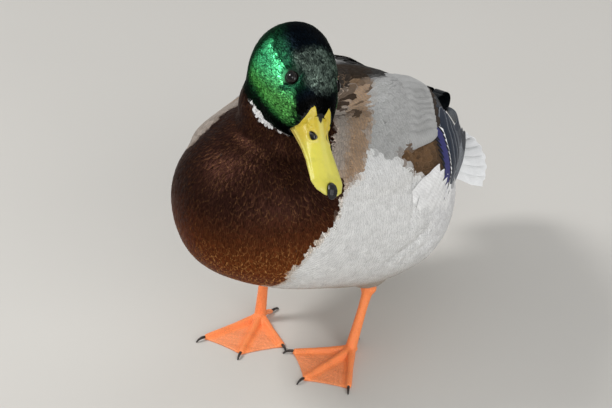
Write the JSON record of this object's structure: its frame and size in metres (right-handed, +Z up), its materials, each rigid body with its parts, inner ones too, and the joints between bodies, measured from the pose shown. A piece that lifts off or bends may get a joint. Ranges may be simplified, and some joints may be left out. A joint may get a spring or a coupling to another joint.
{
  "type": "mallard duck",
  "caption": "Standing male mallard with glossy green head turned to its left, chestnut breast, grey flanks, folded wings, fanned white tail and webbed orange feet.",
  "frame": {"origin": "on the floor, under the middle of the whole duck's bounding box", "axes": "+Z up, the body faces -Y with the tail towards +Y, and +X is the duck's own left"},
  "size_m": [0.1742, 0.3132, 0.2686],
  "materials": {
    "head_feathers": "glossy iridescent green feathers",
    "breast_feathers": "soft chestnut feathers with fine pale edges",
    "body_feathers": "soft pale grey feathers with fine wavy lines",
    "brown_feathers": "smooth brown feathers with paler edges",
    "flight_feathers": "firm slate flight feathers and a violet blue patch",
    "tail_feathers": "firm white tail feathers",
    "curled_feathers": "glossy black curled feathers",
    "bill": "smooth yellow horn, slightly greenish",
    "claws": "dark horn",
    "leg_skin": "orange scaly skin and web",
    "eyes": "wet dark brown eye"
  },
  "bodies": {
    "root": {"trunk": "body_feathers", "neck": "breast_feathers", "head": "head_feathers", "eye_left": "eyes", "eye_right": "eyes", "bill_upper": "bill", "bill_lower": "bill", "bill_nail": "claws", "scapulars_left": "body_feathers", "scapulars_right": "body_feathers", "tertials_left": "brown_feathers", "tertials_right": "brown_feathers", "wing_left": "flight_feathers", "wing_right": "flight_feathers", "primaries_left": "flight_feathers", "primaries_right": "flight_feathers", "tail": "tail_feathers", "tail_curl_left": "curled_feathers", "tail_curl_right": "curled_feathers", "thigh_left": "body_feathers", "thigh_right": "body_feathers", "tarsus_left": "leg_skin", "tarsus_right": "leg_skin", "foot_left": "leg_skin", "foot_right": "leg_skin", "claw_inner_left": "claws", "claw_middle_left": "claws", "claw_outer_left": "claws", "claw_hind_left": "claws", "claw_inner_right": "claws", "claw_middle_right": "claws", "claw_outer_right": "claws", "claw_hind_right": "claws"}
  },
  "joints": []
}
